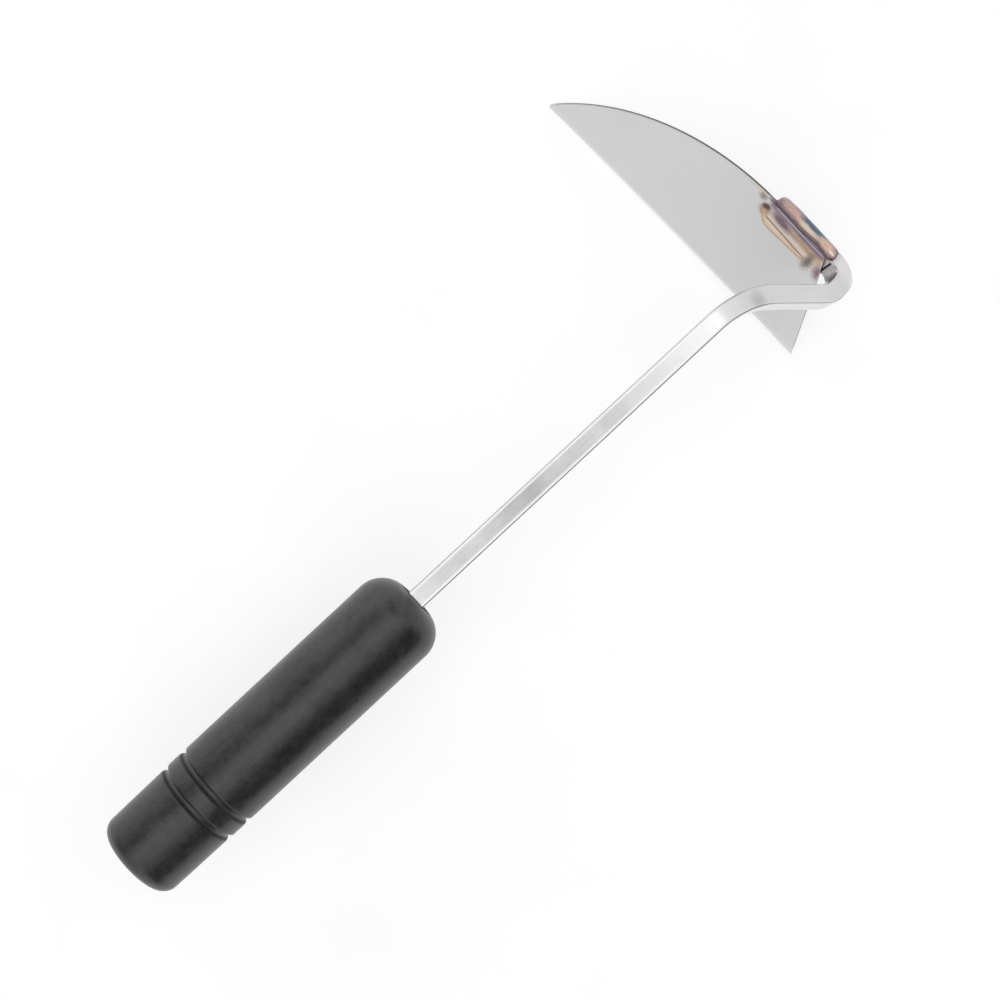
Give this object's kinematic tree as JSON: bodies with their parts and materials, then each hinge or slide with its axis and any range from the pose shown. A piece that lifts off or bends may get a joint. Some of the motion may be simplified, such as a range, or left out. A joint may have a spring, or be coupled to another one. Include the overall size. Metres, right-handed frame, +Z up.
{
  "type": "hand sickle with square twisted neck",
  "caption": "Hand sickle with a half-moon steel blade welded to a square bar that hooks round the blade's heel, and a round moulded grip.",
  "frame": {"origin": "centre of the grip mount, on the grip axis in the middle of the grip", "axes": "+X along the grip axis from the butt towards the blade; +Z up, the blade hangs below the grip axis; +Y is the side the blade points to"},
  "size_m": [0.3191, 0.1256, 0.0728],
  "materials": {
    "grip_plastic": "near-black moulded plastic, soft satin, faint grain",
    "bar_steel": "bright drawn stainless bar, fine lengthwise brushing",
    "blade_steel": "satin rolled stainless sheet",
    "weld_steel": "weld bead with straw, purple and blue heat tint"
  },
  "bodies": {
    "root": {"grip": "grip_plastic", "neck_bar": "bar_steel", "blade": "blade_steel", "seam_weld": "weld_steel", "inner_weld": "weld_steel", "end_weld": "weld_steel"}
  },
  "joints": []
}
